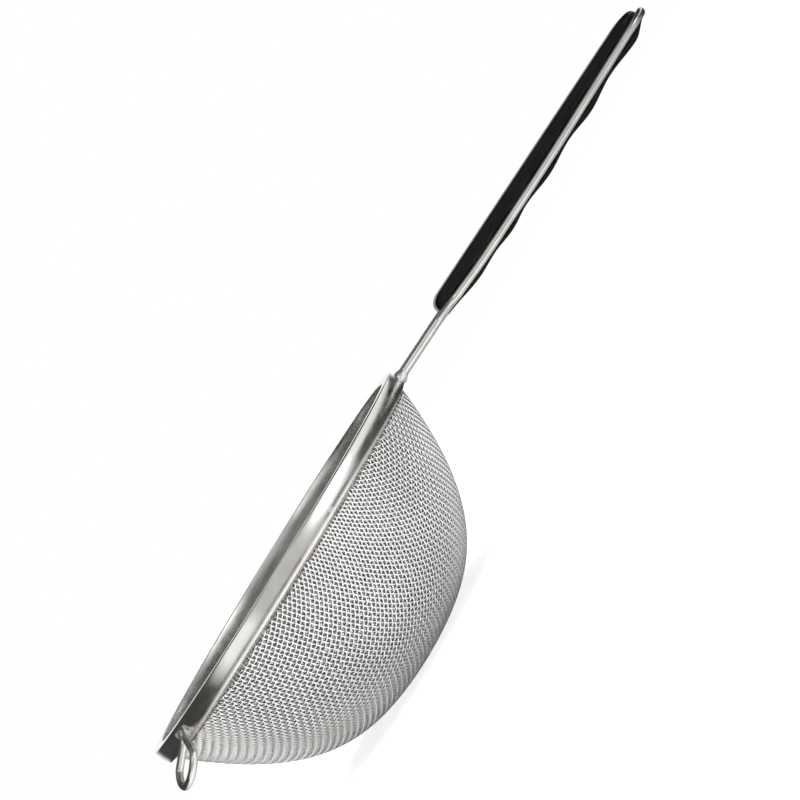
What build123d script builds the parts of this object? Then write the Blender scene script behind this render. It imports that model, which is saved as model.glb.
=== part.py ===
"""A round-bottomed double-mesh strainer: channel rim, rest hook, and a moulded grip on a wire loop.

Millimetres. The origin is the middle of the mouth, in the plane of the rim's top. +Z points out of
the mouth, and +X runs from the middle of the mouth towards the handle.
"""

import os
from math import atan, cos, degrees, hypot, radians, sin, tan

from build123d import *

# One overrun serves all cuts, and one clearance all pieces that are seated on each other.
overrun = 1.0
seat_gap = 0.05

# Bent wires and weld beads are faceted: a bend is mitred in straight stretches of this turn.
bend_step_angle = 20.0
wire_sides = 12

# Rim band: a channel rolled into a ring and open downwards, its outer wall the taller one.
rim_radius = 101.5
rim_height = 8.3
rim_wall = 0.9
channel_width = 6.8
inner_wall_height = 7.0
rim_edge_bevel = 0.9

# Fine mesh: the woven cloth is drawn into a bowl, and its edge stands up inside the channel.
# The bowl is faceted, with its corners on the smooth bowl's outer face.
bowl_depth = 81.2
mesh_edge_depth = 8.2
fine_mesh_thickness = 0.5
mesh_wall_gap = 0.2
skirt_top_depth = 2.6
bowl_round_share = 0.31
bowl_sides = 40
bowl_rows = 10
mesh_flat_radius = rim_radius - channel_width + rim_wall + mesh_wall_gap + fine_mesh_thickness
mesh_radius = mesh_flat_radius / cos(radians(180 / bowl_sides))

# Mesh clamp ring: a hem inside the channel, whose lip turns in under the mesh's edge.
clamp_thickness = 0.8
clamp_fit_gap = 0.1
clamp_top_depth = 1.2
lip_depth = 9.4
lip_mesh_gap = 0.15
clamp_radius = rim_radius - rim_wall - clamp_fit_gap

# Coarse mesh: planes through one point above the mouth lay out the wires, evenly by angle.
# Each wire runs straight from crossing to crossing, over one wire and under the next.
weave_centre_height = 19.0
coarse_pitch_angle = 7.5
coarse_wires_each_side = 9
coarse_wire_width = 0.7
coarse_wire_thickness = 0.4
weave_stand_off = 0.15
weave_gap = 0.1
weave_step = coarse_wire_thickness + weave_gap
wire_end_gap = 0.5
weave_angle = 60.0

# Handle wire: two rods leave the rim together, spread along the grip and join in a round end.
handle_drop = 5.9
handle_droop = 1.9
handle_wire_diameter = 4.2
neck_spacing = 10.0
neck_length = 32.0
flare_length = 11.0
rail_spacing = 22.0
handle_reach = 203.8
flare_bend_radius = 9.0

# Grip: a moulding with a flat top, finger waves underneath and a groove for the wire.
grip_start = 35.2
grip_end = 200.2
grip_top = 7.0
grip_half_width = 11.4
grip_nose_half_width = 7.0
grip_nose_length = 10.0
grip_nose_top = 3.0
grip_nose_bottom = 2.3
grip_front_round = 7.0
grip_rear_round = 11.0
grip_rear_top = 3.4
grip_rear_bottom = 1.6
grip_belly_depth = 5.6
grip_edge_bevel = 2.0
groove_gap = 0.05
wave_steps = 4
wave_station_shares = (0.146, 0.216, 0.296, 0.376, 0.483, 0.590, 0.690, 0.806, 0.922)
wave_depth_shares = (0.875, 0.790, 0.980, 0.770, 1.000, 0.750, 0.985, 0.660, 0.875)

# Handle welds: a bead where each end of the wire meets the rim band.
bead_radius = 4.0
bead_length = 4.6
bead_bevel = 1.8

# Rest hook: one wire bent into a drop-shaped loop, which leaves the rim through a notch.
hook_azimuth = 214.5
hook_droop = 30.0
hook_drop = 4.6
hook_wire_diameter = 3.5
hook_foot_spacing = 8.4
hook_pinch_spacing = 4.8
hook_pinch_reach = 6.5
hook_shoulder_reach = 15.0
hook_eye_radius = 9.3
hook_reach = 32.0
hook_bend_radius = 3.6
notch_width = 17.0
notch_roof = 1.7
notch_corner_radius = 2.5

# Hook welds: a bead where each foot of the hook meets the clamp ring inside the notch.
hook_bead_radius = 2.5
hook_bead_length = 2.6
hook_bead_bevel = 0.6


def bowl_height(radius):
    """Height of the fine mesh's outer face at a radius: flat at the bottom, steep at the rim."""
    share = radius / mesh_radius
    rise = bowl_depth - mesh_edge_depth
    return rise * (bowl_round_share * share**2 + (1 - bowl_round_share) * share**4) - bowl_depth


def bowl_slope(radius):
    """Rise over run of the fine mesh's outer face at a radius."""
    share = radius / mesh_radius
    rise = bowl_depth - mesh_edge_depth
    return rise * (2 * bowl_round_share * share + 4 * (1 - bowl_round_share) * share**3) / mesh_radius


def bowl_curvature(radius):
    """Curvature of the fine mesh's outer face, from pole to rim or round the bowl, the tighter."""
    share = radius / mesh_radius
    rise = bowl_depth - mesh_edge_depth
    bend = rise * (2 * bowl_round_share + 12 * (1 - bowl_round_share) * share**2) / mesh_radius**2
    slope = bowl_slope(radius)
    along = bend / hypot(slope, 1) ** 3
    if radius == 0:
        return along
    return max(along, slope / (radius * hypot(slope, 1)))


def bowl_outline(inset, top):
    """Outline of the faceted bowl across its flats, up to a height, at an inset from outside."""
    half = []
    for row in range(1, bowl_rows + 1):
        radius = mesh_radius * sin(radians(90 * (row - 0.5) / (bowl_rows - 0.5)))
        slope = bowl_slope(radius)
        length = hypot(slope, 1)
        across_flats = (radius - inset * slope / length) * cos(radians(180 / bowl_sides))
        half.append((across_flats, bowl_height(radius) + inset / length))
    half.append((half[-1][0], top))
    return half + [(-across, height) for across, height in reversed(half)]


def reach(across, down):
    """Distance from the weave's centre to the bowl, along a direction across and down."""
    near, far = 0.0, 2 * (rim_radius + bowl_depth)
    for _ in range(60):
        middle = (near + far) / 2
        if weave_centre_height - down * middle > bowl_height(across * middle):
            near = middle
        else:
            far = middle
    return near


def wire_point(plane_angle, wire_angle, stand_off):
    """Place in its own plane, and height, of a point on a wire that stands off the bowl."""
    across = hypot(cos(wire_angle) * sin(plane_angle), sin(wire_angle))
    down = cos(wire_angle) * cos(plane_angle)
    bowl_distance = reach(across, down)
    pitch = radians(coarse_pitch_angle) * bowl_distance
    sag = pitch**2 * bowl_curvature(across * bowl_distance) / 8
    lift = max(4 * sag - weave_step, 0) ** 2 / (16 * sag)
    distance = bowl_distance + stand_off + lift
    in_plane = (distance * cos(wire_angle), distance * sin(wire_angle))
    return in_plane, weave_centre_height - distance * down


def wire_end_angle(plane_angle, stand_off):
    """Angle along a wire at which it meets the clamp ring's lip, or None above the lip."""
    end_height = -lip_depth - wire_end_gap
    if wire_point(plane_angle, 0.0, stand_off)[1] > end_height:
        return None
    low, high = 0.0, radians(89)
    for _ in range(40):
        middle = (low + high) / 2
        if wire_point(plane_angle, middle, stand_off)[1] < end_height:
            low = middle
        else:
            high = middle
    return low


def wire_outline(number, first_crossing):
    """Outline of one coarse wire in its plane: a band with a corner at every crossing."""
    plane_angle = radians(number * coarse_pitch_angle)
    end = wire_end_angle(plane_angle, weave_stand_off + coarse_wire_thickness)
    if end is None:
        return None
    places = [(-end, weave_stand_off)]
    for crossing in range(-coarse_wires_each_side, coarse_wires_each_side + 1):
        angle = atan(tan(radians(crossing * coarse_pitch_angle)) * cos(plane_angle))
        if abs(angle) < end - radians(coarse_pitch_angle) / 2:
            is_over = (number + crossing + first_crossing) % 2
            places.append((angle, weave_stand_off + is_over * weave_step))
    places.append((end, weave_stand_off))
    inner = [wire_point(plane_angle, angle, height)[0] for angle, height in places]
    outer = [wire_point(plane_angle, angle, height + coarse_wire_thickness)[0] for angle, height in places]
    return outer + inner[::-1]


def mitred(path):
    """Corners of a path whose bends are divided into equal straight stretches."""
    corners = []
    for edge in path.order_edges():
        stretches = 1
        if edge.geom_type == GeomType.CIRCLE:
            stretches = max(1, round(degrees(edge.length / edge.radius) / bend_step_angle))
        corners += [edge @ (stretch / stretches) for stretch in range(stretches)]
    corners.append(path @ 1)
    return corners


def waves(stations, first, last):
    """Points of a smooth wave through its crests and hollows, with its two ends."""
    corners = [first, *stations, last]
    points = []
    for (x0, y0), (x1, y1) in zip(corners, corners[1:]):
        for step in range(wave_steps):
            share = step / wave_steps
            points.append((x0 + (x1 - x0) * share, y0 + (y1 - y0) * (1 - cos(radians(180 * share))) / 2))
    return points + [last]


def radial_plane(azimuth, radius, height):
    """Plane that faces outwards from the rim's axis, with X along the rim and Y up."""
    outwards = Vector(1, 0, 0).rotate(Axis.Z, azimuth)
    return Plane(
        origin=outwards * radius + Vector(0, 0, height),
        x_dir=Vector(0, 0, 1).cross(outwards),
        z_dir=outwards,
    )


def wire_plane(number, turn):
    """Plane of one coarse wire, through the weave's centre, its X axis pointing down the bowl."""
    tilt = radians(number * coarse_pitch_angle)
    side = Vector(1, 0, 0).rotate(Axis.Z, turn)
    down = side * sin(tilt) - Vector(0, 0, 1) * cos(tilt)
    along = Vector(0, 0, 1).cross(side)
    return Plane(origin=(0, 0, weave_centre_height), x_dir=down, z_dir=down.cross(along))


os.makedirs("parts", exist_ok=True)

# Rim band
with BuildPart() as rim_band:
    with BuildSketch(Plane.XZ):
        with BuildLine():
            Polyline(
                (rim_radius - rim_wall, -rim_height),
                (rim_radius, -rim_height),
                (rim_radius, 0),
                (rim_radius - channel_width, 0),
                (rim_radius - channel_width, -inner_wall_height),
                (rim_radius - channel_width + rim_wall, -inner_wall_height),
                (rim_radius - channel_width + rim_wall, -rim_wall),
                (rim_radius - rim_wall, -rim_wall),
                close=True,
            )
        rim_section = make_face()
        chamfer(rim_section.vertices().group_by(Axis.Y)[-1], length=rim_edge_bevel)
    revolve(axis=Axis.Z)
    with BuildSketch(radial_plane(hook_azimuth, clamp_radius - clamp_thickness, -rim_height)):
        RectangleRounded(notch_width, 2 * (rim_height - notch_roof), notch_corner_radius)
    extrude(amount=rim_radius, mode=Mode.SUBTRACT)
rim_band.part.label = "rim_band"
export_step(rim_band.part, "parts/rim_band.step")

# Mesh clamp ring
with BuildPart() as mesh_clamp_ring:
    lip_inner_radius = mesh_radius + lip_mesh_gap
    with BuildSketch(Plane.XZ):
        with BuildLine():
            Polyline(
                (clamp_radius - clamp_thickness, -clamp_top_depth),
                (clamp_radius, -clamp_top_depth),
                (clamp_radius, -rim_height),
                (lip_inner_radius, -lip_depth),
                (lip_inner_radius, -lip_depth + clamp_thickness),
                (clamp_radius - clamp_thickness, -rim_height + clamp_thickness),
                close=True,
            )
        make_face()
    revolve(axis=Axis.Z)
mesh_clamp_ring.part.label = "mesh_clamp_ring"
export_step(mesh_clamp_ring.part, "parts/mesh_clamp_ring.step")

# Fine mesh: the bowl is what prisms of its profile, turned step by step round it, share
with BuildPart() as mesh_hollow:
    Cylinder(rim_radius, 2 * bowl_depth)
    for side in range(bowl_sides // 2):
        with BuildSketch(radial_plane(360 * side / bowl_sides, 0, 0)):
            Polygon(*bowl_outline(fine_mesh_thickness, overrun), align=None)
        extrude(amount=rim_radius, both=True, mode=Mode.INTERSECT)
with BuildPart() as fine_mesh:
    Cylinder(rim_radius, 2 * bowl_depth)
    for side in range(bowl_sides // 2):
        with BuildSketch(radial_plane(360 * side / bowl_sides, 0, 0)):
            Polygon(*bowl_outline(0, -skirt_top_depth), align=None)
        extrude(amount=rim_radius, both=True, mode=Mode.INTERSECT)
    add(mesh_hollow.part, mode=Mode.SUBTRACT)
fine_mesh.part.label = "fine_mesh"
export_step(fine_mesh.part, "parts/fine_mesh.step")

# Coarse mesh: the warp wires, and the weft wires that cross them and swap over and under
wire_numbers = range(-coarse_wires_each_side, coarse_wires_each_side + 1)
with BuildPart() as coarse_mesh_warp:
    for number in wire_numbers:
        outline = wire_outline(number, 0)
        if outline is not None:
            with BuildSketch(wire_plane(number, weave_angle)):
                Polygon(*outline, align=None)
    extrude(amount=coarse_wire_width / 2, both=True)
coarse_mesh_warp.part.label = "coarse_mesh_warp"
export_step(coarse_mesh_warp.part, "parts/coarse_mesh_warp.step")

with BuildPart() as coarse_mesh_weft:
    for number in wire_numbers:
        outline = wire_outline(number, 1)
        if outline is not None:
            with BuildSketch(wire_plane(number, weave_angle + 90)):
                Polygon(*outline, align=None)
    extrude(amount=coarse_wire_width / 2, both=True)
coarse_mesh_weft.part.label = "coarse_mesh_weft"
export_step(coarse_mesh_weft.part, "parts/coarse_mesh_weft.step")

# Handle wire: drawn in the handle's own plane, which droops from the rim
droop = radians(handle_droop)
handle_plane = Plane(
    origin=(rim_radius, 0, -handle_drop),
    x_dir=(cos(droop), 0, -sin(droop)),
    z_dir=(sin(droop), 0, cos(droop)),
)
handle_side_plane = Plane(
    origin=handle_plane.origin, x_dir=handle_plane.x_dir, z_dir=(0, -1, 0)
)
handle_wire_radius = handle_wire_diameter / 2
end_centre = handle_reach - handle_wire_radius - rail_spacing / 2
wire_start = -handle_wire_diameter / 2
with BuildPart() as handle_wire:
    with BuildLine(handle_plane, mode=Mode.PRIVATE) as handle_path:
        near_rail = FilletPolyline(
            (wire_start, -neck_spacing / 2),
            (neck_length, -neck_spacing / 2),
            (neck_length + flare_length, -rail_spacing / 2),
            (end_centre, -rail_spacing / 2),
            radius=flare_bend_radius,
        )
        CenterArc((end_centre, 0), rail_spacing / 2, -90, 180)
        mirror(near_rail, about=Plane.XZ)
    wire_plane_at_start = Plane(
        origin=handle_plane.from_local_coords((wire_start, -neck_spacing / 2, 0)),
        z_dir=handle_plane.x_dir,
    )
    with BuildLine() as handle_route:
        Polyline(*mitred(handle_path.wire()))
    with BuildSketch(wire_plane_at_start):
        RegularPolygon(handle_wire_radius, wire_sides)
    sweep(path=handle_route.wire(), transition=Transition.RIGHT)
    split(bisect_by=Plane.YZ.offset(rim_radius + seat_gap))
handle_wire.part.label = "handle_wire"
export_step(handle_wire.part, "parts/handle_wire.step")

# Grip: the side view with its waves, trimmed to the plan view, rounded and grooved
grip_length = grip_end - grip_start
wave_points = [
    (grip_start + station * grip_length, -depth * grip_belly_depth)
    for station, depth in zip(wave_station_shares, wave_depth_shares)
]
with BuildPart() as grip:
    with BuildSketch(handle_side_plane):
        with BuildLine():
            top_front = (grip_start + grip_front_round, grip_top)
            top_rear = (grip_end - grip_rear_round, grip_top)
            nose_top = (grip_start, grip_nose_top)
            nose_bottom = (grip_start, -grip_nose_bottom)
            tail_top = (grip_end, grip_rear_top)
            tail_bottom = (grip_end, -grip_rear_bottom)
            Line(top_front, top_rear)
            TangentArc(top_rear, tail_top, tangent=(1, 0))
            Line(tail_top, tail_bottom)
            Polyline(*waves(reversed(wave_points), tail_bottom, nose_bottom))
            Line(nose_bottom, nose_top)
            TangentArc(top_front, nose_top, tangent=(-1, 0))
        make_face()
    extrude(amount=grip_half_width + overrun, both=True)
    with BuildSketch(handle_plane):
        with BuildLine():
            Polyline(
                (grip_start, 0),
                (grip_start, -grip_nose_half_width),
                (grip_start + grip_nose_length, -grip_half_width),
                (grip_end - grip_half_width, -grip_half_width),
            )
            CenterArc((grip_end - grip_half_width, 0), grip_half_width, -90, 90)
            mirror(about=Plane.XZ)
        plan = make_face()
        fillet(
            plan.vertices().group_by(Axis.X)[0] + plan.vertices().group_by(Axis.X)[1],
            radius=grip_nose_length / 2,
        )
    extrude(amount=grip_top + overrun, both=True, mode=Mode.INTERSECT)
    handle_up = Axis(handle_plane.origin, handle_plane.z_dir)
    top_face = grip.faces().sort_by(handle_up)[-1]
    chamfer(top_face.edges(), length=grip_edge_bevel)
    with BuildSketch(wire_plane_at_start):
        RegularPolygon(handle_wire_radius + groove_gap, wire_sides)
    sweep(path=handle_route.wire(), transition=Transition.RIGHT, mode=Mode.SUBTRACT)
grip.part.label = "grip"
export_step(grip.part, "parts/grip.step")

# Handle welds: a bevelled bead round each end of the wire
with BuildPart() as handle_welds:
    for side in (-1, 1):
        foot = handle_plane.from_local_coords((-bead_length / 2, side * neck_spacing / 2, 0))
        with BuildSketch(Plane(origin=foot, z_dir=handle_plane.x_dir)):
            RegularPolygon(bead_radius, wire_sides)
        extrude(amount=3 * bead_length / 2)
        front = handle_welds.faces().sort_by(Axis(foot, handle_plane.x_dir))[-1]
        chamfer(front.edges(), length=bead_bevel)
        with BuildSketch(Plane(origin=foot, z_dir=handle_plane.x_dir)):
            RegularPolygon(handle_wire_radius + seat_gap, wire_sides)
        extrude(amount=3 * bead_length / 2, mode=Mode.SUBTRACT)
    split(bisect_by=Plane.YZ.offset(rim_radius + seat_gap))
handle_welds.part.label = "handle_welds"
export_step(handle_welds.part, "parts/handle_welds.step")

# Rest hook: drawn in its own plane, which droops from the rim inside the notch
hook_radial = radial_plane(hook_azimuth, clamp_radius, -hook_drop)
hook_slope = radians(hook_droop)
hook_along = hook_radial.z_dir * cos(hook_slope) - hook_radial.y_dir * sin(hook_slope)
hook_plane = Plane(
    origin=hook_radial.origin, x_dir=hook_along, z_dir=hook_along.cross(hook_radial.x_dir)
)
hook_mirror_plane = Plane(origin=hook_plane.origin, x_dir=hook_along, z_dir=hook_plane.y_dir)
hook_wire_radius = hook_wire_diameter / 2
with BuildPart() as rest_hook:
    with BuildLine(hook_plane, mode=Mode.PRIVATE) as hook_path:
        hook_eye_centre = hook_reach - hook_eye_radius - hook_wire_radius
        near_leg = FilletPolyline(
            (-hook_wire_diameter, -hook_foot_spacing / 2),
            (hook_pinch_reach, -hook_pinch_spacing / 2),
            (hook_shoulder_reach, -hook_eye_radius),
            (hook_eye_centre, -hook_eye_radius),
            radius=hook_bend_radius,
        )
        CenterArc((hook_eye_centre, 0), hook_eye_radius, -90, 180)
        mirror(near_leg, about=hook_mirror_plane)
    with BuildLine() as hook_route:
        Polyline(*mitred(hook_path.wire()))
    with BuildSketch(Plane(origin=near_leg @ 0, x_dir=hook_plane.z_dir, z_dir=near_leg % 0)):
        RegularPolygon(hook_wire_radius, wire_sides)
    sweep(path=hook_route.wire(), transition=Transition.RIGHT)
    split(bisect_by=hook_radial.offset(seat_gap))
rest_hook.part.label = "rest_hook"
export_step(rest_hook.part, "parts/rest_hook.step")

# Hook welds: a bevelled bead round each foot of the hook
foot_direction = near_leg % 0
foot = near_leg @ 0
foot_plane = Plane(origin=foot, x_dir=hook_plane.z_dir, z_dir=foot_direction)
with BuildPart() as hook_welds:
    with BuildSketch(foot_plane):
        RegularPolygon(hook_bead_radius, wire_sides)
    extrude(amount=hook_wire_diameter + hook_bead_length)
    front = hook_welds.faces().sort_by(Axis(foot, foot_direction))[-1]
    chamfer(front.edges(), length=hook_bead_bevel)
    with BuildSketch(foot_plane):
        RegularPolygon(hook_wire_radius + seat_gap, wire_sides)
    extrude(amount=hook_wire_diameter + hook_bead_length, mode=Mode.SUBTRACT)
    mirror(about=hook_mirror_plane)
    split(bisect_by=hook_radial.offset(seat_gap))
hook_welds.part.label = "hook_welds"
export_step(hook_welds.part, "parts/hook_welds.step")
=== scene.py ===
from itertools import product
from math import ceil, cos, degrees, hypot, pi, radians, sin, tan

import bmesh
import bpy
import numpy as np
from mathutils import Matrix, Vector


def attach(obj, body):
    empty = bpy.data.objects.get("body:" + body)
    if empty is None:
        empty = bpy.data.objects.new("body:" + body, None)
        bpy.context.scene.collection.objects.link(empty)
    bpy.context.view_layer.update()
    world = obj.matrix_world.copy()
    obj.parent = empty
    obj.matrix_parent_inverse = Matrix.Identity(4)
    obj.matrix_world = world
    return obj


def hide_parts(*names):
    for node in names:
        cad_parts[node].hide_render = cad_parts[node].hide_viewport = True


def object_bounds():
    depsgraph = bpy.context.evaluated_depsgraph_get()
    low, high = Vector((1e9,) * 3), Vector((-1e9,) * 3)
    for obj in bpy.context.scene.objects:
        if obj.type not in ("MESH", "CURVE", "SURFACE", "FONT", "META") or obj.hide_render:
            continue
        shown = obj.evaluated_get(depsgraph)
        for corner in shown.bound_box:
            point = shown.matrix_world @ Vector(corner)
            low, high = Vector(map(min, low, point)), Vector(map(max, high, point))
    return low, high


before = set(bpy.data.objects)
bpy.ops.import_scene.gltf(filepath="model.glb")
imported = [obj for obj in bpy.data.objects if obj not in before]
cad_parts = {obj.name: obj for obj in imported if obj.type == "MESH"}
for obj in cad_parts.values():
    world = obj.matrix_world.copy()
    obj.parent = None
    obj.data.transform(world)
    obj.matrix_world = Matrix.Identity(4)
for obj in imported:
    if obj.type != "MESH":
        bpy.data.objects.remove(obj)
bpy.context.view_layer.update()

# Sizes are in millimetres, in the part's own frame, and become metres when a piece is made
mm = 0.001

# Edges that turn by more degrees than this are sharp, unless a piece says otherwise
usual_sharp_angle = 40

# Rim band and clamp ring
rim_radius = 101.5
rim_height = 8.3
rim_wall = 0.9
channel_width = 6.8
inner_wall_height = 7.0
rim_outer_round = 0.7
rim_inner_round = 0.44
rim_lip_round = 0.3
rim_crown = 0.6
rim_low_crown = 0.25
rim_crown_radius = 25
clamp_radius = 100.5
clamp_thickness = 0.8
clamp_top = -1.2
lip_depth = 9.6
lip_radius = 97.1
hem_drop = 0.1
hem_bend_round = 0.6
hem_lip_round = 0.3
ring_steps = 360
weld_mark_place = (32.0, -96.3, -6.5)
weld_mark_halves = (1.5, 1.5, 1.0)
weld_mark_fade = (0.7, 1.0)
weld_mark_colour = (0.55, 0.54, 0.52, 1)
weld_mark_roughness = (0.5, 0.5, 0.5, 1)

# Bowl
mesh_radius = 96.6
bowl_depth = 81.2
mesh_edge_depth = 8.2
bowl_round_share = 0.31

# Woven wires
weave_azimuth = -30.0
coarse_pitch = 2.25
coarse_wire = 0.94
coarse_rise = 0.6
coarse_top = -9.7
fine_wire = 0.42
fine_depth = 0.75
fine_top = -5.6
coarse_sides = 5
fine_sides = 3
bake_cell_share = 0.45
fewest_crossings = 3
crossing_rounds = 7
pitch_rounds = 6
tiny = 1e-6

# Handle
handle_drop = 5.9
handle_droop = 1.9
handle_wire = 4.2
neck_spacing = 10.0
neck_length = 32.0
flare_length = 11.0
rail_spacing = 22.0
handle_reach = 203.8
flare_bend = 9.0
rail_sag_places = (0, 35, 62, 118, 153, 190, 205)
rail_sags = (0, 0, -1.5, -1.5, -0.7, 0.2, 0.6)
rail_step = 4
rail_smoothings = 6
wire_sides = 28
wire_turn_step = 8

# Grip
grip_start = 35.2
grip_end = 200.2
grip_top = 7.0
grip_half_width = 11.4
grip_belly = 5.6
grip_front_round = 7.0
grip_rear_round = 11.0
grip_edge_round = 2.4
grip_low_round = 1.6
grip_least_round = 0.4
grip_low_round_share = 0.9
grip_front_drop_share = 0.62
grip_rear_drop_share = 0.36
grip_front_taper = 4.4
grip_front_taper_length = 10
grip_least_width_share = 0.25
grip_end_offsets = (0, 0.12, 0.5, 1.2)
grip_end_shrinks = (1.6, 1.0, 0.45, 0)
groove_clearance = 0.08
grip_steps = 200
edge_steps = 8
groove_half_steps = 5
wave_shares = (0.0, 0.146, 0.216, 0.296, 0.376, 0.483, 0.590, 0.690, 0.806, 0.922, 1.0)
wave_depths = (0.45, 0.875, 0.790, 0.980, 0.770, 1.000, 0.750, 0.985, 0.660, 0.875, 0.30)

# Rest hook
hook_azimuth = 214.5
hook_droop = 30.0
hook_drop = 4.6
hook_wire = 3.5
hook_foot_spacing = 4.6
hook_pinch_spacing = 3.9
hook_pinch_reach = 4.5
hook_shoulder_reach = 14.0
hook_eye_radius = 10.0
hook_reach = 26.8
hook_bend = 3.6
notch_width = 13.5
notch_roof = 1.7
notch_corner = 2.5
hook_step = 2

# Weld beads
handle_bead_radius = 3.1
handle_bead_length = 3.8
handle_bead_sink = 0.6
hook_bead_radius = 2.3
hook_bead_length = 3.2
hook_bead_sink = 1.2
bead_steps = 10
bead_sides = 28
bead_taper_power = 0.7
bead_lumps = 4
bead_lump_share = 0.035
bead_twist = 3

# Camera: places in millimetres, its reach in metres
camera_place = (0, -1499.1, 51.5)
camera_aim = (93.1, 0, -11.3)
camera_roll = 58.31
camera_lens = 148.5
camera_reach = 50

# Finishes: a range is where a noise goes from the first to the second look
patch_range = (0.35, 0.7)
smudge_range = (0.3, 0.75)
plastic_range = (0.3, 0.8)
scratch_scale = 2500
scratch_stretch = (0.03, 1, 1)
scratch_depth = 0.02
smudge_stretch = (0.4, 1, 1)
grain_scale = 5200
grain_depth = 0.05


def new_piece(name, vertices, faces, material, slot, nodes, sharp_angle=usual_sharp_angle):
    """A mesh object in metres from places in millimetres, which rides on the part."""
    mesh = bpy.data.meshes.new(name)
    mesh.from_pydata((np.asarray(vertices, float) * mm).tolist(), [], faces)
    mesh.validate()
    mesh.materials.append(material)
    mesh.polygons.foreach_set("use_smooth", [True] * len(mesh.polygons))
    mesh.set_sharp_from_angle(angle=radians(sharp_angle))
    piece = bpy.data.objects.new(name, mesh)
    bpy.context.scene.collection.objects.link(piece)
    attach(piece, "root")
    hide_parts(*nodes)
    return piece


def rounded_outline(corners, closed, turn_step=10):
    """Points of an outline of (x, y, radius) corners, each rounded by an arc."""
    count = len(corners)
    points = []
    for index, (x, y, radius) in enumerate(corners):
        if radius == 0 or (not closed and index in (0, count - 1)):
            points.append((x, y))
            continue
        before = Vector(corners[index - 1][:2]) - Vector((x, y))
        after = Vector(corners[(index + 1) % count][:2]) - Vector((x, y))
        before.normalize()
        after.normalize()
        turn = pi - before.angle(after)
        reach = radius * tan(turn / 2)
        centre = Vector((x, y)) + (before + after).normalized() * (radius / cos(turn / 2))
        start = Vector((x, y)) + before * reach - centre
        side = 1 if before.x * after.y - before.y * after.x < 0 else -1
        steps = max(2, ceil(degrees(turn) / turn_step))
        for step in range(steps + 1):
            spoke = Matrix.Rotation(side * turn * step / steps, 2) @ start
            points.append(tuple(centre + spoke))
    return points


def lathe(outline, steps):
    """Vertices and faces of a closed (radius, height) outline turned about Z."""
    count = len(outline)
    vertices = []
    for step in range(steps):
        turn = 2 * pi * step / steps
        vertices += [(r * cos(turn), r * sin(turn), z) for r, z in outline]
    faces = []
    for step in range(steps):
        here, there = step * count, (step + 1) % steps * count
        for k in range(count):
            after = (k + 1) % count
            faces.append((here + k, there + k, there + after, here + after))
    return vertices, faces


def ring_faces(rings, size):
    """Side faces and end caps of a closed skin over rings of vertices."""
    faces = []
    for ring in range(rings - 1):
        low, high = ring * size, (ring + 1) * size
        for k in range(size):
            after = (k + 1) % size
            faces.append((low + k, low + after, high + after, high + k))
    faces.append(tuple(range(size))[::-1])
    faces.append(tuple(range((rings - 1) * size, rings * size)))
    return faces


def tube(path, radius, sides):
    """Vertices and faces of a closed tube along a path, by parallel transport."""
    path = np.asarray(path, float)
    tangents = np.gradient(path, axis=0)
    tangents /= np.linalg.norm(tangents, axis=1)[:, None]
    across = np.cross(tangents[0], (0, 0, 1))
    vertices = []
    for place, tangent in zip(path, tangents):
        across = across - tangent * np.dot(across, tangent)
        across /= np.linalg.norm(across)
        upright = np.cross(tangent, across)
        for side in range(sides):
            turn = 2 * pi * side / sides
            vertices.append(place + radius * (cos(turn) * across + sin(turn) * upright))
    return vertices, ring_faces(len(path), sides)


def join(*shapes):
    """Vertices and faces of several shapes as one."""
    vertices, faces = [], []
    for more_vertices, more_faces in shapes:
        base = len(vertices)
        vertices += list(more_vertices)
        faces += [tuple(base + k for k in face) for face in more_faces]
    return vertices, faces


def resampled(points, step):
    """A path with its long stretches divided."""
    result = [tuple(points[0])]
    for a, b in zip(points, points[1:]):
        parts = max(1, ceil(np.linalg.norm(np.subtract(b, a)) / step))
        for part in range(1, parts + 1):
            result.append(tuple(np.add(a, np.subtract(b, a) * part / parts)))
    return result


def outwards_matrix(azimuth, radius, height, droop=0.0):
    """Frame on the rim: X outwards and down by the droop, Y along the rim, Z up."""
    turn = Matrix.Rotation(radians(azimuth), 4, "Z")
    place = Matrix.Translation((radius, 0, height))
    return turn @ place @ Matrix.Rotation(radians(droop), 4, "Y")


# Materials
def new_material(name):
    """A material, its node tree and its shader."""
    material = bpy.data.materials.new(name)
    material.use_nodes = True
    tree = material.node_tree
    return material, tree, tree.nodes["Principled BSDF"]


def vector_math(tree, operation, first, second=None):
    """The result of a vector operation on a socket and, where it takes one, a fixed vector."""
    node = tree.nodes.new("ShaderNodeVectorMath")
    node.operation = operation
    if second is not None:
        node.inputs[1].default_value = second
    tree.links.new(first, node.inputs[0])
    return node.outputs["Value" if operation in ("LENGTH", "DOT_PRODUCT") else "Vector"]


def around_rim(tree, source):
    """Coordinates round the rim: along it, away from the frame's origin, and up."""
    split = tree.nodes.new("ShaderNodeSeparateXYZ")
    tree.links.new(source, split.inputs[0])
    angle = tree.nodes.new("ShaderNodeMath")
    angle.operation = "ARCTAN2"
    tree.links.new(split.outputs["Y"], angle.inputs[0])
    tree.links.new(split.outputs["X"], angle.inputs[1])
    along = tree.nodes.new("ShaderNodeMath")
    along.operation = "MULTIPLY"
    along.inputs[1].default_value = rim_radius * mm
    tree.links.new(angle.outputs[0], along.inputs[0])
    joined = tree.nodes.new("ShaderNodeCombineXYZ")
    tree.links.new(along.outputs[0], joined.inputs["X"])
    tree.links.new(vector_math(tree, "LENGTH", source), joined.inputs["Y"])
    tree.links.new(split.outputs["Z"], joined.inputs["Z"])
    return joined.outputs[0]


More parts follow.
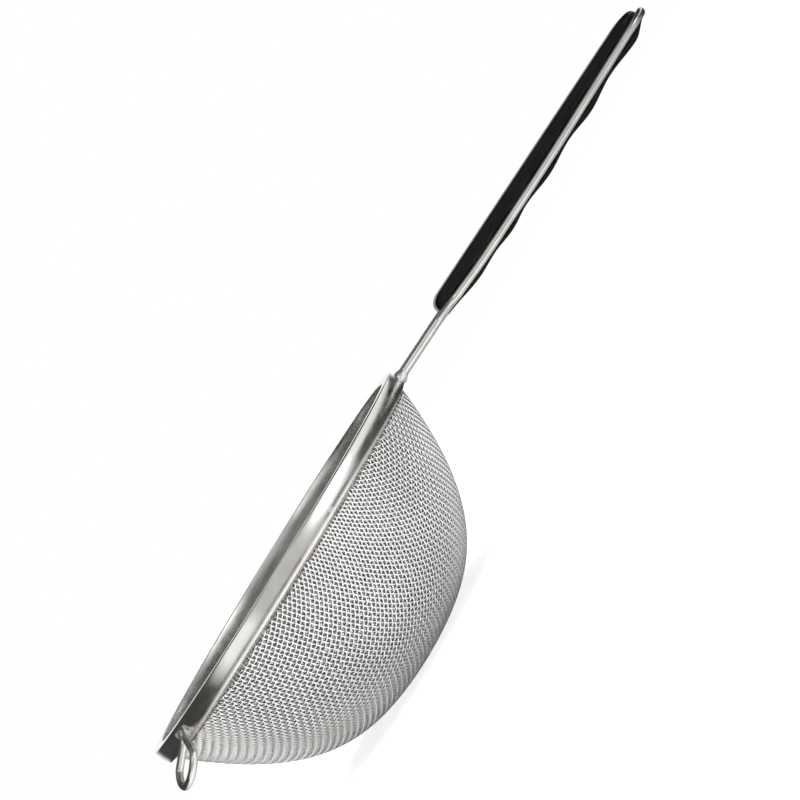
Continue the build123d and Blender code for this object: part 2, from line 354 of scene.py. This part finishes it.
def noise(tree, scale, detail, stretch=(1, 1, 1), around=False):
    """A noise of the object's own coordinates, per metre, or of distances round the rim."""
    source = tree.nodes.new("ShaderNodeTexCoord").outputs["Object"]
    if around:
        source = around_rim(tree, source)
    mapping = tree.nodes.new("ShaderNodeMapping")
    mapping.inputs["Scale"].default_value = stretch
    tree.links.new(source, mapping.inputs["Vector"])
    texture = tree.nodes.new("ShaderNodeTexNoise")
    texture.inputs["Scale"].default_value = scale
    texture.inputs["Detail"].default_value = detail
    tree.links.new(mapping.outputs[0], texture.inputs["Vector"])
    return texture.outputs["Fac"]


def ramp(tree, factor, low, high, first, last):
    """A value or colour that runs from first to last as the factor goes from low to high."""
    node = tree.nodes.new("ShaderNodeValToRGB")
    node.color_ramp.elements[0].position = low
    node.color_ramp.elements[1].position = high
    for element, value in zip(node.color_ramp.elements, (first, last)):
        element.color = (*value, 1) if isinstance(value, tuple) else (value, value, value, 1)
    tree.links.new(factor, node.inputs[0])
    return node.outputs["Color"]


def bump(tree, shader, height, strength, distance):
    """Roughens a shader's surface by a height."""
    node = tree.nodes.new("ShaderNodeBump")
    node.inputs["Strength"].default_value = strength
    node.inputs["Distance"].default_value = distance * mm
    tree.links.new(height, node.inputs["Height"])
    tree.links.new(node.outputs[0], shader.inputs["Normal"])


def steel(name, dark, light, smooth, rough, patch=60, scratch=0.0, around=False):
    """Steel whose colour and roughness vary in soft patches, with fine drawn scratches."""
    material, tree, shader = new_material(name)
    shader.inputs["Metallic"].default_value = 1
    patches = noise(tree, patch, 3, around=around)
    tree.links.new(ramp(tree, patches, *patch_range, dark, light), shader.inputs["Base Color"])
    stretch = smudge_stretch if around else (1, 1, 1)
    smudges = noise(tree, 4 * patch, 4, stretch, around)
    tree.links.new(ramp(tree, smudges, *smudge_range, smooth, rough), shader.inputs["Roughness"])
    if scratch:
        lines = noise(tree, scratch_scale, 2, scratch_stretch, around)
        bump(tree, shader, lines, scratch, scratch_depth)
    return material


polished_steel = steel(
    "polished_steel", (0.70, 0.685, 0.66), (0.84, 0.825, 0.80), 0.12, 0.22, scratch=0.05, around=True
)
wire_steel = steel("wire_steel", (0.62, 0.605, 0.58), (0.74, 0.725, 0.70), 0.12, 0.22, patch=90)
inner_steel = steel(
    "inner_steel", (0.42, 0.41, 0.40), (0.62, 0.61, 0.59), 0.28, 0.45, scratch=0.3, around=True
)
mesh_steel = steel("mesh_steel", (0.84, 0.83, 0.82), (0.92, 0.91, 0.90), 0.22, 0.32, patch=30)
# Painted shade: the fine mesh's steel is darker than the coarse wires', for the shade in the gaps
# between them
fine_steel_painted_shade = steel("fine_steel_painted_shade", (0.64, 0.63, 0.62), (0.74, 0.73, 0.72), 0.36, 0.48, patch=30)
weld_steel = steel("weld_steel", (0.66, 0.65, 0.62), (0.84, 0.83, 0.80), 0.25, 0.45, patch=400)


def mixed(tree, factor, plain, other):
    """A colour socket with a fixed colour laid over it by a factor."""
    mix = tree.nodes.new("ShaderNodeMix")
    mix.data_type = "RGBA"
    colours = [entry for entry in mix.inputs if entry.type == "RGBA"]
    colours[1].default_value = other
    tree.links.new(factor, mix.inputs[0])
    tree.links.new(plain, colours[0])
    return next(entry for entry in mix.outputs if entry.type == "RGBA")


def add_weld_mark(material):
    """A dull grey oval that a spot weld left on the rim band."""
    tree = material.node_tree
    shader = tree.nodes["Principled BSDF"]
    source = tree.nodes.new("ShaderNodeTexCoord").outputs["Object"]
    offset = vector_math(tree, "SUBTRACT", source, [size * mm for size in weld_mark_place])
    scaled = vector_math(tree, "DIVIDE", offset, [size * mm for size in weld_mark_halves])
    inside = ramp(tree, vector_math(tree, "LENGTH", scaled), *weld_mark_fade, 1.0, 0.0)
    dulled = {"Base Color": weld_mark_colour, "Roughness": weld_mark_roughness}
    for name, dull in dulled.items():
        socket = shader.inputs[name]
        tree.links.new(mixed(tree, inside, socket.links[0].from_socket, dull), socket)


add_weld_mark(polished_steel)


def plastic():
    """Black moulded plastic with a fine grain and faint handling marks."""
    material, tree, shader = new_material("grip_plastic")
    tone = noise(tree, 120, 3)
    colours = ramp(tree, tone, *plastic_range, (0.003, 0.003, 0.0032), (0.007, 0.007, 0.0075))
    tree.links.new(colours, shader.inputs["Base Color"])
    marks = noise(tree, 500, 4, stretch=(0.25, 1, 1))
    tree.links.new(ramp(tree, marks, *plastic_range, 0.24, 0.36), shader.inputs["Roughness"])
    shader.inputs["Specular IOR Level"].default_value = 0.15
    bump(tree, shader, noise(tree, grain_scale, 3), 0.22, grain_depth)
    return material


grip_plastic = plastic()


# Rim band: a channel rolled into a ring, with a notch for the hook in its outer wall
inner_face = rim_radius - channel_width
band_outline = rounded_outline(
    (
        (rim_radius - rim_low_crown - rim_wall, -rim_height, rim_lip_round),
        (rim_radius - rim_low_crown, -rim_height, rim_lip_round),
        (rim_radius, -rim_height / 2, rim_crown_radius),
        (rim_radius - rim_crown, 0, rim_outer_round),
        (inner_face, 0, rim_inner_round),
        (inner_face, -inner_wall_height, rim_lip_round),
        (inner_face + rim_wall, -inner_wall_height, rim_lip_round),
        (inner_face + rim_wall, -rim_wall, rim_inner_round),
        (rim_radius - rim_wall, -rim_wall, rim_inner_round),
    ),
    True,
)
rim_band = new_piece(
    "rim_band_shell", *lathe(band_outline, ring_steps), polished_steel, "polished_steel", ["rim_band"]
)


def cut_notch(piece):
    """Cuts the hook's notch, open downwards, from a ring's outer wall."""
    half = notch_width / 2
    corners = (
        (-half, -2 * rim_height, 0),
        (half, -2 * rim_height, 0),
        (half, -notch_roof, notch_corner),
        (-half, -notch_roof, notch_corner),
    )
    outline = rounded_outline(corners, True)
    place = outwards_matrix(hook_azimuth, clamp_radius - clamp_thickness, 0)
    near = [place @ Vector((0, y, z)) for y, z in outline]
    far = [place @ Vector((channel_width, y, z)) for y, z in outline]
    count = len(outline)
    faces = [tuple(range(count)), tuple(range(count, 2 * count))[::-1]]
    for k in range(count):
        faces.append((k, count + k, count + (k + 1) % count, (k + 1) % count))
    mesh = bpy.data.meshes.new("notch")
    mesh.from_pydata([tuple(v * mm) for v in near + far], [], faces)
    shape = bmesh.new()
    shape.from_mesh(mesh)
    bmesh.ops.recalc_face_normals(shape, faces=shape.faces)
    shape.to_mesh(mesh)
    shape.free()
    cutter = bpy.data.objects.new("notch", mesh)
    bpy.context.scene.collection.objects.link(cutter)
    cut = piece.modifiers.new("notch", "BOOLEAN")
    cut.operation = "DIFFERENCE"
    cut.solver = "EXACT"
    cut.object = cutter
    bpy.context.view_layer.update()
    graph = bpy.context.evaluated_depsgraph_get()
    result = bpy.data.meshes.new_from_object(piece.evaluated_get(graph))
    piece.modifiers.clear()
    piece.data = result
    result.set_sharp_from_angle(angle=radians(usual_sharp_angle))
    bpy.data.objects.remove(cutter)


cut_notch(rim_band)

# Clamp ring: a hem inside the channel whose lip turns in under the mesh's edge
hem_outline = rounded_outline(
    (
        (clamp_radius - clamp_thickness, clamp_top, 0),
        (clamp_radius, clamp_top, 0),
        (clamp_radius, -rim_height - hem_drop, hem_bend_round),
        (lip_radius, -lip_depth, hem_lip_round),
        (lip_radius, -lip_depth + clamp_thickness, hem_lip_round),
        (clamp_radius - clamp_thickness, -rim_height + clamp_thickness, hem_lip_round),
    ),
    True,
)
new_piece(
    "mesh_clamp_hem", *lathe(hem_outline, ring_steps), inner_steel, "inner_steel", ["mesh_clamp_ring"]
)


# Bowl
def bowl_height(radius):
    """Height of the bowl's outer face."""
    share = radius / mesh_radius
    rise = bowl_depth - mesh_edge_depth
    return rise * (bowl_round_share * share**2 + (1 - bowl_round_share) * share**4) - bowl_depth


def bowl_slope(radius):
    """Rise over run of the bowl's outer face."""
    share = radius / mesh_radius
    rise = bowl_depth - mesh_edge_depth
    return rise * (2 * bowl_round_share * share + 4 * (1 - bowl_round_share) * share**3) / mesh_radius


def crossing(a, b, c, pitch):
    """Place on the bowl one pitch from two neighbours, on the other side from a third."""
    x, y = a[0] + b[0] - c[0], a[1] + b[1] - c[1]
    for _ in range(crossing_rounds):
        radius = hypot(x, y)
        z = bowl_height(radius)
        slope = bowl_slope(radius) / radius
        rows = []
        for p in (a, b):
            dx, dy, dz = x - p[0], y - p[1], z - p[2]
            error = dx * dx + dy * dy + dz * dz - pitch * pitch
            rows.append((2 * (dx + dz * slope * x), 2 * (dy + dz * slope * y), error))
        (ax, ay, ae), (bx, by, be) = rows
        area = ax * by - ay * bx
        if abs(area) < tiny:
            return None
        x -= (ae * by - be * ay) / area
        y -= (be * ax - ae * bx) / area
        if hypot(x, y) > 2 * mesh_radius:
            return None
    return x, y, bowl_height(hypot(x, y))


def cloth_net(pitch, top):
    """Crossings of a square cloth drawn into the bowl: every stretch of wire keeps its pitch."""
    count = ceil(2 * mesh_radius / pitch)
    net = np.full((2 * count + 1, 2 * count + 1, 3), np.nan)
    line = [(0.0, 0.0, -bowl_depth)]
    while line[-1][2] < top and len(line) <= count:
        x = line[-1][0] + pitch / hypot(1, bowl_slope(line[-1][0]))
        for _ in range(pitch_rounds):
            gap = hypot(x - line[-1][0], bowl_height(x) - line[-1][2])
            x += (pitch - gap) / hypot(1, bowl_slope(x))
        line.append((x, 0.0, bowl_height(x)))
    quarter = {(i, 0): place for i, place in enumerate(line)}
    quarter.update({(0, j): (place[1], place[0], place[2]) for j, place in enumerate(line)})
    for ring in range(2, 2 * count):
        for i in range(1, ring):
            j = ring - i
            a, b, c = (quarter.get(key) for key in ((i - 1, j), (i, j - 1), (i - 1, j - 1)))
            if a and b and c and (a[2] < top or b[2] < top):
                place = crossing(a, b, c, pitch)
                if place:
                    quarter[i, j] = place
    for (i, j), (x, y, z) in quarter.items():
        if i <= count and j <= count:
            net[count + i, count + j] = (x, y, z)
            net[count - i, count + j] = (-x, y, z)
            net[count + i, count - j] = (x, -y, z)
            net[count - i, count - j] = (-x, -y, z)
    return net


def halved(net):
    """The net with a crossing added halfway between each two."""
    size = 2 * len(net) - 1
    finer = np.full((size, size, 3), np.nan)
    finer[::2, ::2] = net
    finer[1::2, ::2] = (net[1:] + net[:-1]) / 2
    finer[:, 1::2] = (finer[:, 2::2] + finer[:, :-1:2]) / 2
    radius = np.hypot(finer[..., 0], finer[..., 1])
    finer[..., 2] = bowl_height(radius)
    return finer


def outward(places):
    """The bowl's outward normals."""
    radius = np.maximum(np.hypot(places[:, 0], places[:, 1]), tiny)
    slope = bowl_slope(radius) / radius
    normals = np.stack([slope * places[:, 0], slope * places[:, 1], -np.ones(len(places))], 1)
    return normals / np.linalg.norm(normals, axis=1)[:, None]


def cut_end(line, inside, outside, top):
    """Where a wire passes a height on its way to the next crossing, if it has one."""
    if not 0 <= outside < len(line) or np.isnan(line[outside, 2]):
        return []
    share = (top - line[inside, 2]) / (line[outside, 2] - line[inside, 2])
    return [line[inside] + (line[outside] - line[inside]) * share]


def clipped(line, top):
    """The stretch of a wire below a height, cut off at that height, and its first index."""
    below = np.nan_to_num(line[:, 2], nan=np.inf) < top
    if below.sum() < fewest_crossings:
        return None, 0
    first, last = np.flatnonzero(below)[[0, -1]]
    start = cut_end(line, first, first - 1, top)
    end = cut_end(line, last, last + 1, top)
    return np.array(start + list(line[first : last + 1]) + end), first - len(start)


def weave(net, top, wire, stand_off, sides, halfway, parts):
    """Woven wires, each over one and under the next: (word, part, vertices, faces) a piece."""
    pieces = []
    spokes = 2 * pi * (np.arange(sides) + 0.5) / sides
    for family, part in product((0, 1), range(parts)):
        rings, faces, base = [], [], 0
        lines = net if family == 0 else net.transpose(1, 0, 2)
        for number in range(part * len(lines) // parts, (part + 1) * len(lines) // parts):
            places, first = clipped(lines[number], top)
            if places is None:
                continue
            over = np.where((np.arange(len(places)) + first + number + family) % 2, 0.5, -0.5)
            if halfway:
                fuller = np.empty((2 * len(places) - 1, 3))
                fuller[::2] = places
                fuller[1::2] = (places[1:] + places[:-1]) / 2
                waved = np.zeros(len(fuller))
                waved[::2] = over
                places, over = fuller, waved
            normals = outward(places)
            centres = places + normals * (stand_off + over * wire)[:, None]
            tangents = np.gradient(centres, axis=0)
            tangents /= np.linalg.norm(tangents, axis=1)[:, None]
            across = np.cross(tangents, normals)
            across /= np.linalg.norm(across, axis=1)[:, None]
            upright = np.cross(across, tangents)
            ring = centres[:, None] + wire / 2 * (
                np.cos(spokes)[None, :, None] * upright[:, None]
                + np.sin(spokes)[None, :, None] * across[:, None]
            )
            rings.append(ring.reshape(-1, 3))
            count = len(places)
            low = base + np.arange(count - 1)[:, None] * sides + np.arange(sides)[None]
            after = base + np.arange(count - 1)[:, None] * sides + (np.arange(sides)[None] + 1) % sides
            quads = np.stack([low, after, after + sides, low + sides], -1).reshape(-1, 4)
            faces += quads.tolist()
            faces.append(list(range(base, base + sides))[::-1])
            faces.append(list(range(base + (count - 1) * sides, base + count * sides)))
            base += count * sides
        places = np.concatenate(rings)
        turn = radians(weave_azimuth)
        turned = places.copy()
        turned[:, 0] = places[:, 0] * cos(turn) - places[:, 1] * sin(turn)
        turned[:, 1] = places[:, 0] * sin(turn) + places[:, 1] * cos(turn)
        pieces.append((("warp", "weft")[family], part + 1, turned, faces))
    return pieces


def add_bake_map(piece):
    """A cell of one square map for each face of a piece."""
    faces = piece.data.polygons
    counts = np.empty(len(faces), int)
    faces.foreach_get("loop_total", counts)
    starts = np.repeat(np.cumsum(counts) - counts, counts)
    turns = 2 * pi * (np.arange(counts.sum()) - starts) / np.repeat(counts, counts) + pi / 4
    cells = np.repeat(np.arange(len(faces)), counts)
    side = ceil(len(faces) ** 0.5)
    across = (cells % side + 0.5 + bake_cell_share * np.cos(turns)) / side
    up = (cells // side + 0.5 + bake_cell_share * np.sin(turns)) / side
    layer = piece.data.uv_layers.new(name="OFBake")
    layer.data.foreach_set("uv", np.stack([across, up], 1).ravel())


coarse_net = cloth_net(coarse_pitch, fine_top)
coarse = weave(coarse_net, coarse_top, coarse_wire, coarse_rise, coarse_sides, True, 1)
fine = weave(halved(coarse_net), fine_top, fine_wire, -fine_depth, fine_sides, False, 2)
for word, _, vertices, faces in coarse:
    node = "coarse_mesh_" + word
    add_bake_map(new_piece("coarse_" + word, vertices, faces, mesh_steel, "mesh_steel", [node], 80))
for word, part, vertices, faces in fine:
    name = f"fine_{word}_{part}"
    add_bake_map(new_piece(name, vertices, faces, fine_steel_painted_shade, "mesh_steel", ["fine_mesh"], 130))

# Handle wire
handle_frame = Matrix.Translation((rim_radius, 0, -handle_drop)) @ Matrix.Rotation(
    radians(handle_droop), 4, "Y"
)


def rail_height(reach):
    """Height of the handle wire's centre line in the handle's own frame."""
    return float(np.interp(reach, rail_sag_places, rail_sags))


def handle_route():
    """Centre line of the handle wire, from one end round the grip to the other."""
    rail = rail_spacing / 2
    tip = handle_reach - handle_wire / 2
    near = (
        (-handle_wire / 4, -neck_spacing / 2, 0),
        (neck_length, -neck_spacing / 2, flare_bend),
        (neck_length + flare_length, -rail, flare_bend),
        (tip, -rail, rail),
    )
    far = tuple((x, -y, radius) for x, y, radius in reversed(near))
    flat = resampled(rounded_outline(near + far, False, wire_turn_step), rail_step)
    smooth = np.array([(x, y, rail_height(x)) for x, y in flat])
    for _ in range(rail_smoothings):
        smooth[1:-1, 2] = (smooth[:-2, 2] + 2 * smooth[1:-1, 2] + smooth[2:, 2]) / 4
    return [handle_frame @ Vector(p) for p in smooth]


new_piece(
    "handle_rails",
    *tube(handle_route(), handle_wire / 2, wire_sides),
    wire_steel,
    "polished_steel",
    ["handle_wire"],
)


# Grip: sections along the handle, with a groove on each side where the wire lies
def end_drop(distance, length):
    """How far the top has dropped near an end, as a share of the length of its round."""
    if distance >= length:
        return 0
    return 1 - (1 - (1 - distance / length) ** 2) ** 0.5


def wave_depth(share):
    """Depth of the finger waves at a share of the grip's length."""
    place = max(k for k, start in enumerate(wave_shares[:-1]) if start <= share)
    low_share, high_share = wave_shares[place], wave_shares[place + 1]
    blend = (1 - cos(pi * (share - low_share) / (high_share - low_share))) / 2
    return wave_depths[place] + (wave_depths[place + 1] - wave_depths[place]) * blend


def grip_section(reach, shrink):
    """Outline of the grip across its length, as (y, z) in the handle's frame."""
    from_front = reach - grip_start
    from_rear = grip_end - reach
    top = grip_top
    top -= end_drop(from_front, grip_front_round) * grip_front_round * grip_front_drop_share
    top -= end_drop(from_rear, grip_rear_round) * grip_rear_round * grip_rear_drop_share
    bottom = -grip_belly * wave_depth(from_front / (grip_end - grip_start))
    width = grip_half_width
    if from_front < grip_front_taper_length:
        width -= grip_front_taper * (1 - from_front / grip_front_taper_length) ** 2
    if from_rear < grip_half_width:
        rounded = (1 - (1 - from_rear / grip_half_width) ** 2) ** 0.5
        width *= max(grip_least_width_share, rounded)
    width, top, bottom = width - shrink, top - shrink, bottom + shrink
    centre = rail_height(reach)
    groove = handle_wire / 2 + groove_clearance
    inset = rail_spacing / 2 - width
    points = []
    quarter = [radians(90 * step / edge_steps) for step in range(edge_steps + 1)]
    edge = min(grip_edge_round, (top - centre) / 2)
    for turn in quarter:
        points.append((width - edge + edge * sin(turn), top - edge + edge * cos(turn)))
    if abs(inset) < groove:
        open_angle = np.arccos(inset / groove)
        for step in range(2 * groove_half_steps + 1):
            turn = pi - open_angle * (1 - step / groove_half_steps)
            points.append((rail_spacing / 2 + groove * cos(turn), centre + groove * sin(turn)))
    room = (centre - groove - bottom) * grip_low_round_share
    edge = max(grip_least_round, min(grip_low_round, room))
    for turn in quarter:
        points.append((width - edge + edge * cos(turn), bottom + edge - edge * sin(turn)))
    return points


def fitted(points, count):
    """An outline with another number of points, evenly spaced."""
    points = np.array(points)
    lengths = np.concatenate([[0], np.cumsum(np.linalg.norm(np.diff(points, axis=0), axis=1))])
    wanted = np.linspace(0, lengths[-1], count)
    return np.stack([np.interp(wanted, lengths, points[:, k]) for k in (0, 1)], 1)


def grip_stations():
    """Places along the grip, each with how much its section shrinks there."""
    ends = list(zip(grip_end_offsets, grip_end_shrinks))
    margin = grip_end_offsets[-1]
    stations = [(grip_start + offset, shrink) for offset, shrink in ends]
    for step in range(1, grip_steps):
        reach = grip_start + margin + (grip_end - grip_start - 2 * margin) * step / grip_steps
        stations.append((reach, 0))
    return stations + [(grip_end - offset, shrink) for offset, shrink in reversed(ends)]


def grip_shape():
    """Vertices and faces of the grip: every ring has as many points as a section with no groove."""
    vertices = []
    count = 2 * (edge_steps + 1)
    stations = grip_stations()
    for reach, shrink in stations:
        half = grip_section(reach, shrink)
        if len(half) != count:
            half = [tuple(point) for point in fitted(half, count)]
        ring = half + [(-y, z) for y, z in reversed(half)]
        vertices += [handle_frame @ Vector((reach, y, z)) for y, z in ring]
    return vertices, ring_faces(len(stations), 2 * count)


new_piece("grip_body", *grip_shape(), grip_plastic, "grip_plastic", ["grip"], 50)


# Handle welds: a slightly uneven bead round each end of the wire
def bead(frame_matrix, outer, inner, length, seed):
    """A tapered bead along X of a frame, slightly uneven."""
    lumps = np.random.default_rng(seed).normal(0, 1, (bead_lumps, 2))
    vertices = []
    for step in range(bead_steps + 1):
        share = step / bead_steps
        radius = inner + (outer - inner) * (1 - share) ** bead_taper_power
        for side in range(bead_sides):
            turn = 2 * pi * side / bead_sides
            uneven = sum(
                lump * sin((k + 2) * turn + start + bead_twist * share)
                for k, (lump, start) in enumerate(lumps)
            )
            size = radius * (1 + bead_lump_share * uneven * (1 - share))
            vertices.append(frame_matrix @ Vector((length * share, size * cos(turn), size * sin(turn))))
    return vertices, ring_faces(bead_steps + 1, bead_sides)


def bead_pair(frame_matrix, sink, spacing, outer, inner, length, seeds):
    """A bead round each of two wire ends, side by side."""
    beads = []
    for seed, side in zip(seeds, (-1, 1)):
        foot = frame_matrix @ Matrix.Translation((-sink, side * spacing / 2, 0))
        beads.append(bead(foot, outer, inner, length, seed))
    return join(*beads)


handle_beads = bead_pair(
    handle_frame,
    handle_bead_sink,
    neck_spacing,
    handle_bead_radius,
    handle_wire / 2,
    handle_bead_length,
    (3, 4),
)
new_piece("handle_weld_beads", *handle_beads, weld_steel, "polished_steel", ["handle_welds"], 60)

# Rest hook
hook_frame = outwards_matrix(hook_azimuth, clamp_radius, -hook_drop, hook_droop)


def hook_route():
    """Centre line of the hook's loop, in its own plane."""
    eye = hook_eye_radius
    tip = hook_reach - hook_wire / 2
    near = (
        (-hook_wire / 3, -hook_foot_spacing / 2, 0),
        (hook_pinch_reach, -hook_pinch_spacing / 2, hook_bend),
        (hook_shoulder_reach, -eye, hook_bend),
        (tip, -eye, eye),
    )
    far = tuple((x, -y, radius) for x, y, radius in reversed(near))
    flat = resampled(rounded_outline(near + far, False, wire_turn_step), hook_step)
    return [hook_frame @ Vector((x, y, 0)) for x, y in flat]


new_piece(
    "hook_loop",
    *tube(hook_route(), hook_wire / 2, wire_sides),
    wire_steel,
    "polished_steel",
    ["rest_hook"],
)
hook_beads = bead_pair(
    hook_frame,
    hook_bead_sink,
    hook_foot_spacing,
    hook_bead_radius,
    hook_wire / 2,
    hook_bead_length,
    (7, 8),
)
new_piece("hook_weld_beads", *hook_beads, weld_steel, "inner_steel", ["hook_welds"], 60)

# Stage, light and camera, in metres, degrees and watts
floor_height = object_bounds()[0][2]
floor_size = 1.2
floor_lift = 0.66
# The floor's own colour, seen by reflections and bounced light, is a painted pool of light: fade
# distances, stretch, shift, tones
painted_light_pool = (0.20, 0.46)
painted_light_pool_shape = (0.68, 1, 0)
painted_light_pool_shift = (0.04, 0.28, 0)
painted_light_pool_tones = (0.95, 0.05)
studio_dim = 0.06

# Fields of light as azimuth, elevation, angle of the core, angle of the edge, strength
studio_fields = (
    (-139, 5, 4, 26, 0.8),
    (-41, 5, 4, 26, 0.8),
    (-90, 0, 12, 75, 0.58),
    (-90, 46, 3, 15, 1.1),
    (90, 0, 8, 26, 1.0),
    (0, 90, 10, 55, 0.15),
)

# The strip of light runs between shares of the direction's X and Z
strip_ends = (0.30, 0.62)
strip_low_edge = (0.02, 0.06)
strip_high_edge = (0.20, 0.30)
strip_strength = 1.0

# The lamp stands over the object
lamp_place = (0.1, -0.35, 1.6)
lamp_width = 2.6
lamp_power = 60


def shown_to_camera(tree, plain, for_camera):
    """A surface that the camera sees as one shader and everything else as another."""
    path = tree.nodes.new("ShaderNodeLightPath")
    mix = tree.nodes.new("ShaderNodeMixShader")
    tree.links.new(path.outputs["Is Camera Ray"], mix.inputs[0])
    tree.links.new(plain, mix.inputs[1])
    tree.links.new(for_camera, mix.inputs[2])
    return mix.outputs[0]


def add_floor():
    """A floor under the object, lifted to white for the camera where nothing shades it, with a painted
    pool of light.
    """
    mesh = bpy.data.meshes.new("floor")
    corners = [(-1, -1), (1, -1), (1, 1), (-1, 1)]
    places = [(x * floor_size, y * floor_size, floor_height) for x, y in corners]
    mesh.from_pydata(places, [], [(0, 1, 2, 3)])
    material, tree, shader = new_material("floor")
    shader.inputs["Roughness"].default_value = 1
    shader.inputs["Specular IOR Level"].default_value = 0
    source = tree.nodes.new("ShaderNodeTexCoord").outputs["Object"]
    shifted = tree.nodes.new("ShaderNodeMapping")
    shifted.inputs["Scale"].default_value = painted_light_pool_shape
    shifted.inputs["Location"].default_value = painted_light_pool_shift
    tree.links.new(source, shifted.inputs["Vector"])
    distance = vector_math(tree, "LENGTH", shifted.outputs[0])
    # Painted pool of light: the colour is pale under the object and dark further out, for all rays but
    # the camera's
    painted_pool_colour = ramp(tree, distance, *painted_light_pool, *painted_light_pool_tones)
    tree.links.new(painted_pool_colour, shader.inputs["Base Color"])
    plain = tree.nodes.new("ShaderNodeBsdfDiffuse")
    glow = tree.nodes.new("ShaderNodeEmission")
    glow.inputs["Strength"].default_value = floor_lift
    lifted = tree.nodes.new("ShaderNodeAddShader")
    tree.links.new(plain.outputs[0], lifted.inputs[0])
    tree.links.new(glow.outputs[0], lifted.inputs[1])
    surface = shown_to_camera(tree, shader.outputs[0], lifted.outputs[0])
    tree.links.new(surface, tree.nodes["Material Output"].inputs["Surface"])
    mesh.materials.append(material)
    floor = bpy.data.objects.new("floor", mesh)
    bpy.context.scene.collection.objects.link(floor)


def fade(tree, value, low, high, first, last):
    """A number that goes softly from first to last as a value goes from low to high."""
    node = tree.nodes.new("ShaderNodeMapRange")
    node.interpolation_type = "SMOOTHSTEP"
    settings = {"From Min": low, "From Max": high, "To Min": first, "To Max": last}
    for name, setting in settings.items():
        node.inputs[name].default_value = setting
    tree.links.new(value, node.inputs["Value"])
    return node.outputs[0]


def combined(tree, operation, values):
    """The sum or product of several numbers."""
    total = values[0]
    for value in values[1:]:
        node = tree.nodes.new("ShaderNodeMath")
        node.operation = operation
        tree.links.new(total, node.inputs[0])
        tree.links.new(value, node.inputs[1])
        total = node.outputs[0]
    return total


def field(tree, direction, azimuth, elevation, core, edge, strength):
    """A round field of light in the sky, which fades from its core to its edge."""
    across = cos(radians(elevation))
    middle = (
        across * cos(radians(azimuth)),
        across * sin(radians(azimuth)),
        sin(radians(elevation)),
    )
    aim = vector_math(tree, "DOT_PRODUCT", direction, middle)
    return fade(tree, aim, cos(radians(edge)), cos(radians(core)), 0, strength)


def strip(tree, direction):
    """A long low strip of light on the handle's side, which the rim's shoulder mirrors."""
    split = tree.nodes.new("ShaderNodeSeparateXYZ")
    tree.links.new(direction, split.inputs[0])
    side, height = split.outputs["X"], split.outputs["Z"]
    parts = [
        fade(tree, side, *strip_ends, 0, strip_strength),
        fade(tree, height, *strip_low_edge, 0, 1),
        fade(tree, height, *strip_high_edge, 1, 0),
    ]
    return combined(tree, "MULTIPLY", parts)


def add_world():
    """White for the camera. For light and reflections, a dim studio with bright fields."""
    world = bpy.data.worlds.new("studio")
    bpy.context.scene.world = world
    world.use_nodes = True
    tree = world.node_tree
    studio = tree.nodes["Background"]
    direction = tree.nodes.new("ShaderNodeTexCoord").outputs["Generated"]
    dim = tree.nodes.new("ShaderNodeValue")
    dim.outputs[0].default_value = studio_dim
    lights = [field(tree, direction, *settings) for settings in studio_fields]
    total = combined(tree, "ADD", [dim.outputs[0], strip(tree, direction), *lights])
    tree.links.new(total, studio.inputs["Color"])
    white = tree.nodes.new("ShaderNodeBackground")
    white.inputs["Color"].default_value = (1, 1, 1, 1)
    surface = shown_to_camera(tree, studio.outputs[0], white.outputs[0])
    tree.links.new(surface, tree.nodes["World Output"].inputs["Surface"])


def add_lamp():
    """A large softbox overhead, which lights the floor and shows in no reflection."""
    data = bpy.data.lights.new("softbox", "AREA")
    data.size = lamp_width
    data.energy = lamp_power
    lamp = bpy.data.objects.new("softbox", data)
    lamp.location = lamp_place
    lamp.rotation_euler = (-lamp.location).to_track_quat("-Z", "Y").to_euler()
    lamp.visible_glossy = False
    bpy.context.scene.collection.objects.link(lamp)


def add_camera():
    """The photograph's view."""
    data = bpy.data.cameras.new("camera")
    data.lens = camera_lens
    data.clip_end = camera_reach
    camera = bpy.data.objects.new("camera", data)
    place = Vector(camera_place) * mm
    look = (Vector(camera_aim) * mm - place).to_track_quat("-Z", "Y").to_matrix().to_4x4()
    camera.matrix_world = Matrix.Translation(place) @ look @ Matrix.Rotation(
        radians(-camera_roll), 4, "Z"
    )
    bpy.context.scene.collection.objects.link(camera)
    bpy.context.scene.camera = camera


add_floor()
add_world()
add_lamp()
add_camera()
bpy.context.scene.view_settings.view_transform = "Standard"

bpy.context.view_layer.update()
